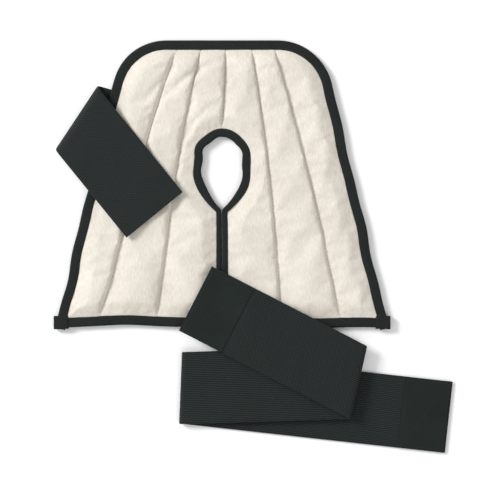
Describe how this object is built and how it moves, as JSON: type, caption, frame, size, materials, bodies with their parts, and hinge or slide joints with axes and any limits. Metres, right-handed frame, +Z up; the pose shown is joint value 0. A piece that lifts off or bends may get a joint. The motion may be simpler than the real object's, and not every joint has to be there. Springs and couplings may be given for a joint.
{
  "type": "cold compression wrap",
  "caption": "Keyhole pad of sewn gel channels bound in tape, with a short and a long elastic strap, for cold and pressure on a knee or shoulder.",
  "frame": {"origin": "middle of the footprint, on the table the wrap lies on", "axes": "+Z up, +X across the pad, +Y up the pad along its slit, away from the hem"},
  "size_m": [0.4166, 0.4312, 0.0163],
  "materials": {
    "plush": "short brushed pile, matt",
    "gel": "sealed film over gel",
    "back_cloth": "brushed loop cloth",
    "binding_tape": "woven tape, matt",
    "elastic": "ribbed woven elastic",
    "hook_tape": "hook tape",
    "tab_cloth": "smooth woven cloth"
  },
  "bodies": {
    "pad": {"back_cloth_centre": "back_cloth", "plush_left_inner": "plush", "plush_right_inner": "plush", "plush_right_mid": "plush", "gel_pack_left_inner": "gel", "gel_pack_right_inner": "gel", "gel_pack_right_mid": "gel", "keyhole_tape": "binding_tape", "hem_tape_left_inner": "binding_tape", "hem_tape_right_inner": "binding_tape", "border_tape_centre": "binding_tape", "long_strap_left_fold": "elastic", "long_strap_right_fold": "elastic", "long_strap_low_run": "elastic", "long_strap_middle_run": "elastic", "long_strap_top_run": "elastic"},
    "left_channel": {"back_cloth_left_mid": "back_cloth", "plush_left_mid": "plush", "gel_pack_left_mid": "gel", "hem_tape_left_mid": "binding_tape", "border_tape_left_mid": "binding_tape"},
    "left_wing": {"back_cloth_left_outer": "back_cloth", "plush_left_outer": "plush", "gel_pack_left_outer": "gel", "hem_tape_left_outer": "binding_tape", "border_tape_left_outer": "binding_tape", "corner_tab_left": "binding_tape", "short_strap_fold": "elastic", "short_strap_anchor": "elastic", "short_strap_back_hook": "hook_tape"},
    "short_flap": {"short_strap_flap": "elastic"},
    "short_end": {"short_strap_end": "elastic", "short_strap_end_hook": "hook_tape"},
    "right_wing": {"back_cloth_right_outer": "back_cloth", "plush_right_outer": "plush", "gel_pack_right_outer": "gel", "hem_tape_right_outer": "binding_tape", "border_tape_right_outer": "binding_tape", "corner_tab_right": "binding_tape"},
    "top_tab": {"long_strap_top_end": "elastic", "long_strap_top_hook": "hook_tape", "long_strap_top_cover": "tab_cloth"},
    "tail_tab": {"long_strap_tail": "elastic", "long_strap_tail_hook": "hook_tape", "long_strap_tail_cover": "tab_cloth"}
  },
  "joints": [
    {"name": "left_inner_fold", "type": "hinge", "parent": "pad", "child": "left_channel", "pos_m": [-0.09231, -0.08436, 0.0156], "axis": [0.1467, 0.9892, 0], "range_deg": [0, 40]},
    {"name": "left_outer_fold", "type": "hinge", "parent": "left_channel", "child": "left_wing", "pos_m": [-0.16281, -0.08436, 0.0156], "axis": [0.2756, 0.9613, 0], "range_deg": [0, 45]},
    {"name": "right_outer_fold", "type": "hinge", "parent": "pad", "child": "right_wing", "pos_m": [0.09219, -0.08436, 0.0156], "axis": [0.2364, -0.9716, 0], "range_deg": [0, 60]},
    {"name": "short_flap_open", "type": "hinge", "parent": "left_wing", "child": "short_flap", "pos_m": [-0.17585, 0.13336, 0.0156], "axis": [-0.5519, -0.8339, 0], "range_deg": [0, 160]},
    {"name": "short_end_bend", "type": "hinge", "parent": "short_flap", "child": "short_end", "pos_m": [-0.16281, -0.08436, 0.0156], "axis": [0.2756, 0.9613, 0], "range_deg": [-45, 0]},
    {"name": "top_tab_peel", "type": "hinge", "parent": "pad", "child": "top_tab", "pos_m": [-0.01656, -0.07864, 0.0164], "axis": [0.4655, 0.885, 0], "range_deg": [0, 90]},
    {"name": "tail_tab_lift", "type": "hinge", "parent": "pad", "child": "tail_tab", "pos_m": [0.15449, -0.17286, 0.0037], "axis": [-0.1101, -0.9939, 0], "range_deg": [0, 90]}
  ],
  "couplings": [
    {"joint": "short_end_bend", "follows": "left_outer_fold", "ratio": -1}
  ]
}
